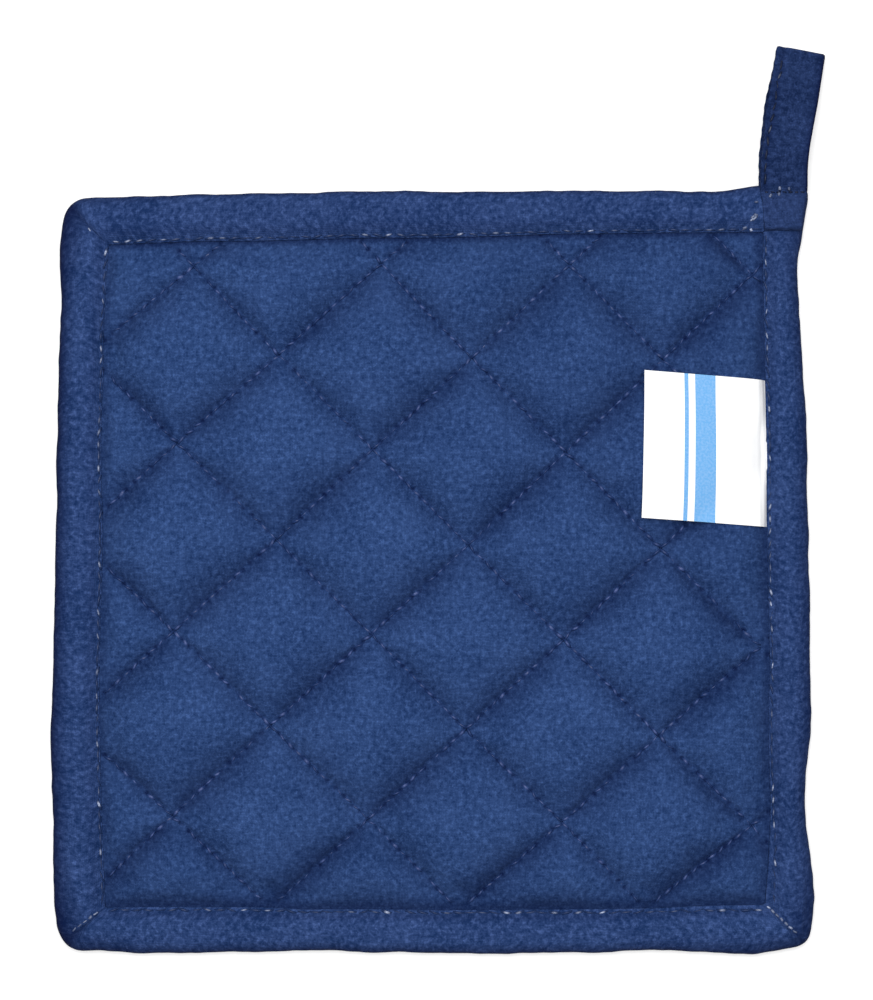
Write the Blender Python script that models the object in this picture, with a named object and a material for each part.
"""Quilted pot holder, lying on its back on a surface with its hanging loop pointing away.

Four sewn pieces: a diamond-quilted pad, one binding strip folded over the pad's edge and mitred at its
corners, a hanging loop of folded tape whose end is sewn down over one corner, and a small label whose
end meets the binding. Metres, +Z up and out of the front face, +Y towards the loop. The origin is on
the surface, under the middle of body and loop together.
"""

from collections import namedtuple
import math

import bmesh
import bpy
from mathutils import Vector
import numpy as np

MM = 0.001

# ---- driving sizes ----

BODY_WIDTH = 200.0 * MM
BODY_HEIGHT = 202.0 * MM
BODY_CENTRE = Vector((-1.84 * MM, -19.11 * MM))
SEW_GAP = 0.3 * MM

BINDING_CLOTH = 1.0 * MM
BOUND_EDGE = 5.0 * MM
FOLD_RADIUS = BOUND_EDGE / 2
BINDING_WIDTH = {"left": 12.2 * MM, "top": 11.6 * MM, "right": 10.4 * MM, "bottom": 11.7 * MM}
CORNER_RADIUS = {
    "top_right": 1.5 * MM,
    "top_left": 6.5 * MM,
    "bottom_left": 7.0 * MM,
    "bottom_right": 6.0 * MM,
}
LEAST_RADIUS = 0.8 * MM

PAD_INSET = 2.6 * MM
PAD_BACK = BINDING_CLOTH + SEW_GAP
PAD_FRONT = BOUND_EDGE - BINDING_CLOTH - SEW_GAP
PUFF_RISE = 4.3 * MM
PUFF_SAG = 2.4 * MM
PUFF_FULLNESS = 0.55
HEM_MARGIN = 0.8 * MM
HEM_SLOPE = 10.0 * MM
HEM_FULLNESS = 0.8
SHORTEST_EDGE = 0.5 * MM

QUILT_PITCH = 35.7 * MM
PUFF_CUTS = (0.0, 0.14, 0.32, 0.5, 0.68, 0.86)
HEM_CUTS = (0.0, 0.2, 0.5)

LABEL_CLOTH = 1.0 * MM
LABEL_REACH = 32.6 * MM
LABEL_HEIGHT = 39.4 * MM
LABEL_MIDDLE = 30.3 * MM
LABEL_DROP = 3.1 * MM
LABEL_LEAN = 1.3 * MM
LABEL_STIFFNESS = 40.0 * MM
LABEL_BRIDGE = 14

LOOP_TAPE = 1.3 * MM
LOOP_WIDTH = 12.6 * MM
LOOP_END_WIDTH = 10.6 * MM
LOOP_BASE = Vector((91.56 * MM, 81.94 * MM))
LOOP_RISE = 5.0 * MM
LOOP_BEND = 50.0 * MM
LOOP_LEAN = math.radians(11.0)
LOOP_LENGTH = 38.0 * MM
LOOP_FOLD = 0.6 * MM
TAPE_ROUND = 0.5 * MM

# ---- how finely each shape is divided ----

OUTER_FOLD_STEPS = 6
INNER_FOLD_STEPS = 4
SIDE_STEPS = 16
CORNER_STEPS = 4
LABEL_STEPS = 8
BACK_LEG_STEPS = 14
LOOP_FOLD_STEPS = 8
FRONT_LEG_STEPS = 18
SMOOTH_ANGLE = math.radians(40.0)

# ---- short tables ----

# How far each sewn edge strays outwards from straight, in mm: at its fold and at its hem.
# "along" runs up the left and right edges and to the right on the top and bottom ones.
Stray = namedtuple("Stray", "along fold hem")
EDGES = {
    "left": (
        Stray(-95, 0.4, -0.7),
        Stray(-65, 0.5, 0.4),
        Stray(-42, 1.3, 0.7),
        Stray(-20, 0.5, 0.3),
        Stray(20, -0.1, 0.0),
        Stray(60, -1.2, -0.6),
        Stray(95, -2.4, -1.9),
    ),
    "right": (
        Stray(-90, 1.7, -0.2),
        Stray(-63, -0.6, 0.6),
        Stray(-33, 1.1, 0.3),
        Stray(5, 0.2, 0.2),
        Stray(45, -0.8, -0.5),
        Stray(80, -2.8, -1.0),
        Stray(100, -0.2, -1.0),
    ),
    "bottom": (
        Stray(-92, -0.6, -0.7),
        Stray(-78, 0.15, -0.3),
        Stray(-38, -0.65, -0.1),
        Stray(5, 0.25, -0.1),
        Stray(53, -0.65, -0.1),
        Stray(85, 0.45, -0.6),
    ),
    "top": (
        Stray(-92, -1.6, -2.1),
        Stray(-60, -0.7, -1.2),
        Stray(-20, 0.2, -0.2),
        Stray(40, 0.1, 0.6),
        Stray(75, 0.2, 1.1),
        Stray(88, 1.3, 1.2),
        Stray(98, 0.6, 1.2),
    ),
}

# Stitched lines, counted in pitches from the one nearest the middle: how far each strays from even
# spacing, in mm, and its slope in degrees.
Stitched = namedtuple("Stitched", "step stray slope")
FIRST_RISING = -1.6 * MM
RISING = (
    Stitched(-4, 0.0, 38.0),
    Stitched(-3, 2.1, 38.0),
    Stitched(-2, -0.2, 40.8),
    Stitched(-1, -0.1, 42.3),
    Stitched(0, 0.0, 42.6),
    Stitched(1, 0.2, 42.4),
    Stitched(2, 0.7, 41.3),
    Stitched(3, -1.2, 39.5),
    Stitched(4, 0.0, 39.0),
)
FIRST_FALLING = 11.9 * MM
FALLING = (
    Stitched(-4, 0.0, -43.9),
    Stitched(-3, 0.0, -43.9),
    Stitched(-2, 0.3, -44.4),
    Stitched(-1, 0.7, -45.0),
    Stitched(0, 0.0, -45.4),
    Stitched(1, -0.1, -45.8),
    Stitched(2, 0.0, -45.3),
    Stitched(3, -2.8, -45.0),
    Stitched(4, 0.0, -45.0),
)

# The loop's two legs, in mm: how high the middle of the tape runs, counted from the body's edge.
Leg = namedtuple("Leg", "along height")
LOOP_BACK = (
    Leg(1.3, 2.5),
    Leg(4.5, 1.8),
    Leg(9.0, 0.75),
    Leg(13.0, 0.65),
    Leg(36.1, 0.65),
)
LOOP_FRONT = (
    Leg(-10.4, 5.95),
    Leg(-3.0, 5.95),
    Leg(4.0, 6.8),
    Leg(12.0, 7.6),
    Leg(21.0, 7.1),
    Leg(30.0, 4.9),
    Leg(36.1, 3.15),
)

# ---- colours, linear ----

DENIM_BLUE = (0.026, 0.060, 0.180, 1.0)
BINDING_BLUE = (0.026, 0.056, 0.165, 1.0)
LOOP_NAVY = (0.017, 0.035, 0.105, 1.0)
LABEL_WHITE = (0.86, 0.88, 0.89, 1.0)


# ---- shared helpers ----

def read_table(rows, column, place):
    """Reads one column of a table at any place, on a smooth curve through its rows. In metres."""
    places = [row[0] * MM for row in rows]
    values = [getattr(row, column) * MM for row in rows]
    last = len(rows) - 1
    place = min(max(place, places[0]), places[last])
    slopes = []
    for i in range(len(rows)):
        before = max(i - 1, 0)
        after = min(i + 1, last)
        slopes.append((values[after] - values[before]) / (places[after] - places[before]))
    i = min(max(int(np.searchsorted(places, place)) - 1, 0), last - 1)
    span = places[i + 1] - places[i]
    t = (place - places[i]) / span
    hold = (1 + 2 * t) * (1 - t) ** 2
    leave = t * (1 - t) ** 2 * span
    arrive = t ** 2 * (t - 1) * span
    return hold * values[i] + (1 - hold) * values[i + 1] + leave * slopes[i] + arrive * slopes[i + 1]


def sewn(x, y):
    """Where a point of the flat pattern lies once sewn: the strays bend the edges and fade inwards."""
    left, right, bottom, top = edge_limits(0.0, 0.0)
    hem_left, hem_right, hem_bottom, hem_top = edge_limits(FOLD_RADIUS, 1.0)
    knots_x = (left, hem_left, hem_right, right)
    knots_y = (bottom, hem_bottom, hem_top, top)
    shift_x = (
        -read_table(EDGES["left"], "fold", y),
        -read_table(EDGES["left"], "hem", y),
        read_table(EDGES["right"], "hem", y),
        read_table(EDGES["right"], "fold", y),
    )
    shift_y = (
        -read_table(EDGES["bottom"], "fold", x),
        -read_table(EDGES["bottom"], "hem", x),
        read_table(EDGES["top"], "hem", x),
        read_table(EDGES["top"], "fold", x),
    )
    moved_x = x + float(np.interp(x, knots_x, shift_x))
    moved_y = y + float(np.interp(y, knots_y, shift_y))
    return Vector((moved_x, moved_y)) + BODY_CENTRE


def cloth_material(name, colour, roughness):
    """A Principled material for one cloth."""
    material = bpy.data.materials.new(name)
    material.use_nodes = True
    shader = material.node_tree.nodes["Principled BSDF"]
    shader.inputs["Base Color"].default_value = colour
    shader.inputs["Roughness"].default_value = roughness
    shader.inputs["Metallic"].default_value = 0.0
    return material


def add_piece(name, bm, material):
    """Turns a finished bmesh into a named object with its faces outwards."""
    bmesh.ops.recalc_face_normals(bm, faces=bm.faces)
    mesh = bpy.data.meshes.new(name)
    bm.to_mesh(mesh)
    bm.free()
    mesh.materials.append(material)
    mesh.shade_smooth()
    mesh.set_sharp_from_angle(angle=SMOOTH_ANGLE)
    piece = bpy.data.objects.new(name, mesh)
    bpy.context.scene.collection.objects.link(piece)
    return piece


def loft(sections):
    """Joins equal rings of points into one closed body with a face on each end."""
    bm = bmesh.new()
    rings = [[bm.verts.new(point) for point in section] for section in sections]
    count = len(rings[0])
    for ring, following in zip(rings, rings[1:]):
        for i in range(count):
            j = (i + 1) % count
            bm.faces.new((ring[i], ring[j], following[j], following[i]))
    bm.faces.new(list(reversed(rings[0])))
    bm.faces.new(rings[-1])
    return bm


# ---- binding ----

def edge_limits(inset, reach):
    """Left, right, bottom and top of the body at one place across the binding.

    inset is the same on all sides, for the round fold; reach goes from 0 at the fold to 1 at the hem.
    """
    depth = {side: inset + reach * (width - FOLD_RADIUS) for side, width in BINDING_WIDTH.items()}
    left = depth["left"] - BODY_WIDTH / 2
    right = BODY_WIDTH / 2 - depth["right"]
    bottom = depth["bottom"] - BODY_HEIGHT / 2
    top = BODY_HEIGHT / 2 - depth["top"]
    return left, right, bottom, top


def edge_run(inset, reach, side_steps):
    """Points right round the body, from the mitre joint at the top right corner back to it."""
    left, right, bottom, top = edge_limits(inset, reach)
    corners = (
        ("top_right", right, top, (1, 1), (45, 90)),
        ("top_left", left, top, (-1, 1), (90, 180)),
        ("bottom_left", left, bottom, (-1, -1), (180, 270)),
        ("bottom_right", right, bottom, (1, -1), (270, 360)),
        ("top_right", right, top, (1, 1), (360, 405)),
    )
    points = []
    for name, corner_x, corner_y, (away_x, away_y), (first, last) in corners:
        radius = max(CORNER_RADIUS[name] * (1 - reach) - inset, LEAST_RADIUS)
        centre = Vector((corner_x - away_x * radius, corner_y - away_y * radius))
        steps = CORNER_STEPS * (last - first) // 90
        arc = []
        for step in range(steps + 1):
            angle = math.radians(first + (last - first) * step / steps)
            arc.append(centre + radius * Vector((math.cos(angle), math.sin(angle))))
        if points:
            start = points[-1]
            points.extend(start.lerp(arc[0], step / side_steps) for step in range(1, side_steps))
        points.extend(arc)
    return points


def binding_section():
    """The folded strip's section, as (inset, reach, height): over the fold outside, then back inside."""
    outside = []
    for step in range(OUTER_FOLD_STEPS + 1):
        angle = math.pi * (0.5 - step / OUTER_FOLD_STEPS)
        outside.append((FOLD_RADIUS * (1 - math.cos(angle)), 0.0, FOLD_RADIUS * (1 + math.sin(angle))))
    inner_radius = FOLD_RADIUS - BINDING_CLOTH
    inside = []
    for step in range(INNER_FOLD_STEPS + 1):
        angle = math.pi * (step / INNER_FOLD_STEPS - 0.5)
        across = FOLD_RADIUS - inner_radius * math.cos(angle)
        inside.append((across, 0.0, FOLD_RADIUS + inner_radius * math.sin(angle)))
    hem_outside = ((FOLD_RADIUS, 1.0, 0.0), (FOLD_RADIUS, 1.0, BINDING_CLOTH))
    hem_inside = ((FOLD_RADIUS, 1.0, BOUND_EDGE - BINDING_CLOTH), (FOLD_RADIUS, 1.0, BOUND_EDGE))
    return [*outside, *hem_outside, *inside, *hem_inside]


def add_binding(material):
    """One strip folded over the pad's edge, mitred at the corners, its ends meeting in the fourth mitre."""
    apart = Vector((-1.0, 1.0)).normalized() * (SEW_GAP / 2)
    runs = []
    for inset, reach, height in binding_section():
        run = edge_run(inset, reach, SIDE_STEPS)
        run[0] = run[0] + apart
        run[-1] = run[-1] - apart
        runs.append([sewn(*point).to_3d() + Vector((0, 0, height)) for point in run])
    return add_piece("binding", loft(list(zip(*runs))), material)


# ---- pad ----

def stitch_lines(rows, first, pitch):
    """Each stitched line as its unit normal and its distance from the body's middle."""
    lines = []
    for row in rows:
        slope = math.radians(row.slope)
        normal = Vector((-math.sin(slope), math.cos(slope)))
        lines.append((normal, first + row.step * pitch + row.stray * MM))
    return lines


RISING_LINES = stitch_lines(RISING, FIRST_RISING, QUILT_PITCH)
FALLING_LINES = stitch_lines(FALLING, FIRST_FALLING, QUILT_PITCH)


def between_lines(lines, point):
    """How far a point lies across its row of puffs, from 0 at one stitched line to 1 at the next."""
    gone = [normal.dot(point) - distance for normal, distance in lines]
    for below, above in zip(gone, gone[1:]):
        if above < 0 <= below:
            return below / (below - above)
    return 0.0


def hem_distance(point):
    """How far inside the nearest hem a point of the pattern lies."""
    left, right, bottom, top = edge_limits(FOLD_RADIUS, 1.0)
    return min(point.x - left, right - point.x, point.y - bottom, top - point.y)


def puff(point):
    """How full the quilting is at a point: 0 at the stitches and under the binding, 1 on a crown."""
    across = math.sin(math.pi * between_lines(RISING_LINES, point))
    along = math.sin(math.pi * between_lines(FALLING_LINES, point))
    from_hem = min(max((hem_distance(point) - HEM_MARGIN) / HEM_SLOPE, 0.0), 1.0)
    held = math.sin(from_hem * math.pi / 2) ** HEM_FULLNESS
    return (max(across, 0.0) * max(along, 0.0)) ** PUFF_FULLNESS * held


def cut(bm, normal, distance):
    """Cuts the whole sheet along one straight line of the pattern."""
    bmesh.ops.bisect_plane(
        bm,
        geom=bm.verts[:] + bm.edges[:] + bm.faces[:],
        plane_co=(normal * distance).to_3d(),
        plane_no=normal.to_3d(),
        dist=0.01 * MM,
    )


def cut_quilting(bm):
    """Cuts along every stitched line, and between each pair of them so that the puffs can swell."""
    for lines in (RISING_LINES, FALLING_LINES):
        for (normal, distance), (next_normal, next_distance) in zip(lines, lines[1:]):
            for share in PUFF_CUTS:
                blended = normal.lerp(next_normal, share)
                reach = distance + (next_distance - distance) * share
                cut(bm, blended.normalized(), reach / blended.length)


def cut_hem_frames(bm):
    """Cuts a frame just inside the hem, where the puffs start, and more on their slope."""
    left, right, bottom, top = edge_limits(FOLD_RADIUS, 1.0)
    for share in HEM_CUTS:
        margin = HEM_MARGIN + share * HEM_SLOPE
        cut(bm, Vector((1, 0)), left + margin)
        cut(bm, Vector((1, 0)), right - margin)
        cut(bm, Vector((0, 1)), bottom + margin)
        cut(bm, Vector((0, 1)), top - margin)


def add_pad(material):
    """The filled pad: a sheet cut along its quilting, thickened, and puffed up front and back."""
    bm = bmesh.new()
    outline = edge_run(PAD_INSET, 0.0, side_steps=1)[:-1]
    bm.faces.new([bm.verts.new(point.to_3d()) for point in outline])
    cut_quilting(bm)
    cut_hem_frames(bm)
    bmesh.ops.remove_doubles(bm, verts=bm.verts, dist=SHORTEST_EDGE)
    back = list(bm.verts)
    grown = bmesh.ops.extrude_face_region(bm, geom=list(bm.faces))
    front = [item for item in grown["geom"] if isinstance(item, bmesh.types.BMVert)]
    for vert in front:
        vert.co.z = PAD_FRONT + PUFF_RISE * puff(vert.co.xy)
    for vert in back:
        vert.co.z = max(PAD_BACK - PUFF_SAG * puff(vert.co.xy), 0.0)
    for vert in bm.verts:
        vert.co.xy = sewn(*vert.co.xy)
    return add_piece("pad", bm, material)


# ---- label ----

def label_height(point):
    """How high the label's underside runs: it bridges the puffs as a sheet too stiff to follow them.

    A bowl-shaped probe is set down on every millimetre around the point, and the highest one counts.
    """
    steps = range(-LABEL_BRIDGE, LABEL_BRIDGE + 1)
    highest = 0.0
    for i in steps:
        for j in steps:
            offset = Vector((i * MM, j * MM))
            below = PAD_FRONT + PUFF_RISE * puff(point + offset)
            highest = max(highest, below - offset.length_squared / (2 * LABEL_STIFFNESS))
    return highest + SEW_GAP


def add_label(material):
    """A small sheet whose sewn end meets the binding's hem and whose free end lies on the puffs."""
    hem = edge_limits(FOLD_RADIUS, 1.0)[1] - SEW_GAP
    sections = []
    for i in range(LABEL_STEPS + 1):
        out = i / LABEL_STEPS
        underside = []
        for j in range(LABEL_STEPS + 1):
            up = j / LABEL_STEPS - 0.5
            x = hem - out * (LABEL_REACH - up * LABEL_LEAN)
            y = LABEL_MIDDLE + up * LABEL_HEIGHT + out * LABEL_DROP
            height = label_height(Vector((x, y))) if i else PAD_FRONT + SEW_GAP
            underside.append(sewn(x, y).to_3d() + Vector((0, 0, height)))
        topside = [point + Vector((0, 0, LABEL_CLOTH)) for point in reversed(underside)]
        sections.append(underside + topside)
    return add_piece("label", loft(sections), material)


# ---- hanging loop ----

def loop_plan(along):
    """Where the middle of the loop's tape runs over the surface, and the direction across it."""
    bent = min(max((along - LOOP_RISE) / LOOP_BEND, 0.0), LOOP_LEAN)
    straight = max(along - LOOP_RISE - LOOP_BEND * LOOP_LEAN, 0.0)
    x = LOOP_BEND * (1 - math.cos(bent)) + straight * math.sin(LOOP_LEAN)
    y = min(along, LOOP_RISE) + LOOP_BEND * math.sin(bent) + straight * math.cos(LOOP_LEAN)
    return LOOP_BASE + Vector((x, y)), Vector((math.cos(bent), -math.sin(bent)))


def loop_profile():
    """The tape's middle line from the side, as (along, height): back leg, fold, front leg."""
    middle = LOOP_TAPE / 2
    turn = LOOP_FOLD + middle
    fold_at = LOOP_LENGTH - turn - middle
    back_start = LOOP_BACK[0].along * MM
    profile = []
    for step in range(BACK_LEG_STEPS):
        along = back_start + (fold_at - back_start) * step / BACK_LEG_STEPS
        profile.append((along, max(read_table(LOOP_BACK, "height", along), middle)))
    for step in range(LOOP_FOLD_STEPS + 1):
        angle = math.pi * (step / LOOP_FOLD_STEPS - 0.5)
        profile.append((fold_at + turn * math.cos(angle), middle + turn * (1 + math.sin(angle))))
    front_end = LOOP_FRONT[0].along * MM
    for step in range(1, FRONT_LEG_STEPS + 1):
        along = fold_at + (front_end - fold_at) * step / FRONT_LEG_STEPS
        profile.append((along, read_table(LOOP_FRONT, "height", along)))
    return profile


def tape_width(along):
    """The tape narrows over the corner that its end is sewn down on."""
    over_corner = min(max(along / (LOOP_FRONT[0].along * MM), 0.0), 1.0)
    return LOOP_WIDTH + over_corner * (LOOP_END_WIDTH - LOOP_WIDTH)


def tape_section(width):
    """The tape's section, as (across, through), with softly rounded edges."""
    half = width / 2
    thick = LOOP_TAPE / 2
    slim = thick / 2
    right = [(half - TAPE_ROUND, thick), (half, slim), (half, -slim), (half - TAPE_ROUND, -thick)]
    left = [(-across, through) for across, through in reversed(right)]
    return right + left


def add_loop(material):
    """The strip's tail: it leaves the corner along the surface, folds over and comes back on top."""
    profile = loop_profile()
    sections = []
    for i, (along, height) in enumerate(profile):
        before = profile[max(i - 1, 0)]
        after = profile[min(i + 1, len(profile) - 1)]
        run = Vector((after[0] - before[0], after[1] - before[1])).normalized()
        section = []
        centre, sideways = loop_plan(along)
        ahead = Vector((-sideways.y, sideways.x))
        for across, through in tape_section(tape_width(along)):
            flat = centre + sideways * across - ahead * (run.y * through)
            section.append(flat.to_3d() + Vector((0, 0, height + run.x * through)))
        sections.append(section)
    return add_piece("hanging_loop", loft(sections), material)


# ---- build ----

def clear_scene():
    for item in list(bpy.data.objects):
        bpy.data.objects.remove(item, do_unlink=True)


def build():
    clear_scene()
    add_pad(cloth_material("pad_cloth", DENIM_BLUE, 0.9))
    add_binding(cloth_material("binding_cloth", BINDING_BLUE, 0.9))
    add_loop(cloth_material("loop_cloth", LOOP_NAVY, 0.9))
    add_label(cloth_material("label_satin", LABEL_WHITE, 0.55))


build()
